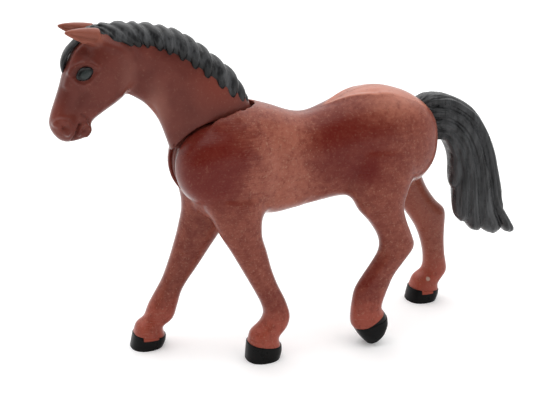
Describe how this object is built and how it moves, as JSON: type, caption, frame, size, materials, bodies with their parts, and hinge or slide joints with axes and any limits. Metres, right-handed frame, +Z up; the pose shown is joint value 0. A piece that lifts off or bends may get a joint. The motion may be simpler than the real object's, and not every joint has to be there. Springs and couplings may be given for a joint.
{
  "type": "toy farm animal figure",
  "caption": "Walking toy horse of moulded plastic with a head and neck that nod down on a cross pin between its shoulders.",
  "frame": {"origin": "middle of the bounding box, on the ground under the hooves", "axes": "-X towards the horse's head, -Y towards its left side, +Z up"},
  "size_m": [0.1654, 0.0373, 0.114],
  "materials": {
    "body_shell_left": "satin moulded reddish brown with fine streaks",
    "body_shell_right": "satin moulded reddish brown with fine streaks",
    "neck_half_left": "matt moulded reddish brown",
    "neck_half_right": "matt moulded reddish brown",
    "neck_pivot_pin": "smooth moulded grey",
    "mane": "satin moulded charcoal black",
    "tail": "satin moulded charcoal black",
    "hoof_front_left": "satin moulded charcoal black",
    "hoof_front_right": "satin moulded charcoal black",
    "hoof_hind_left": "satin moulded charcoal black",
    "hoof_hind_right": "satin moulded charcoal black"
  },
  "bodies": {
    "body": {"body_shell_left": "body_shell_left", "body_shell_right": "body_shell_right", "neck_pivot_pin": "neck_pivot_pin", "tail": "tail", "hoof_front_left": "hoof_front_left", "hoof_front_right": "hoof_front_right", "hoof_hind_left": "hoof_hind_left", "hoof_hind_right": "hoof_hind_right"},
    "neck": {"neck_half_left": "neck_half_left", "neck_half_right": "neck_half_right", "mane": "mane"}
  },
  "joints": [
    {"name": "neck_nod", "type": "hinge", "parent": "body", "child": "neck", "pos_m": [-0.03135, 0, 0.06698], "axis": [0, -1, 0], "range_deg": [0, 60]}
  ]
}
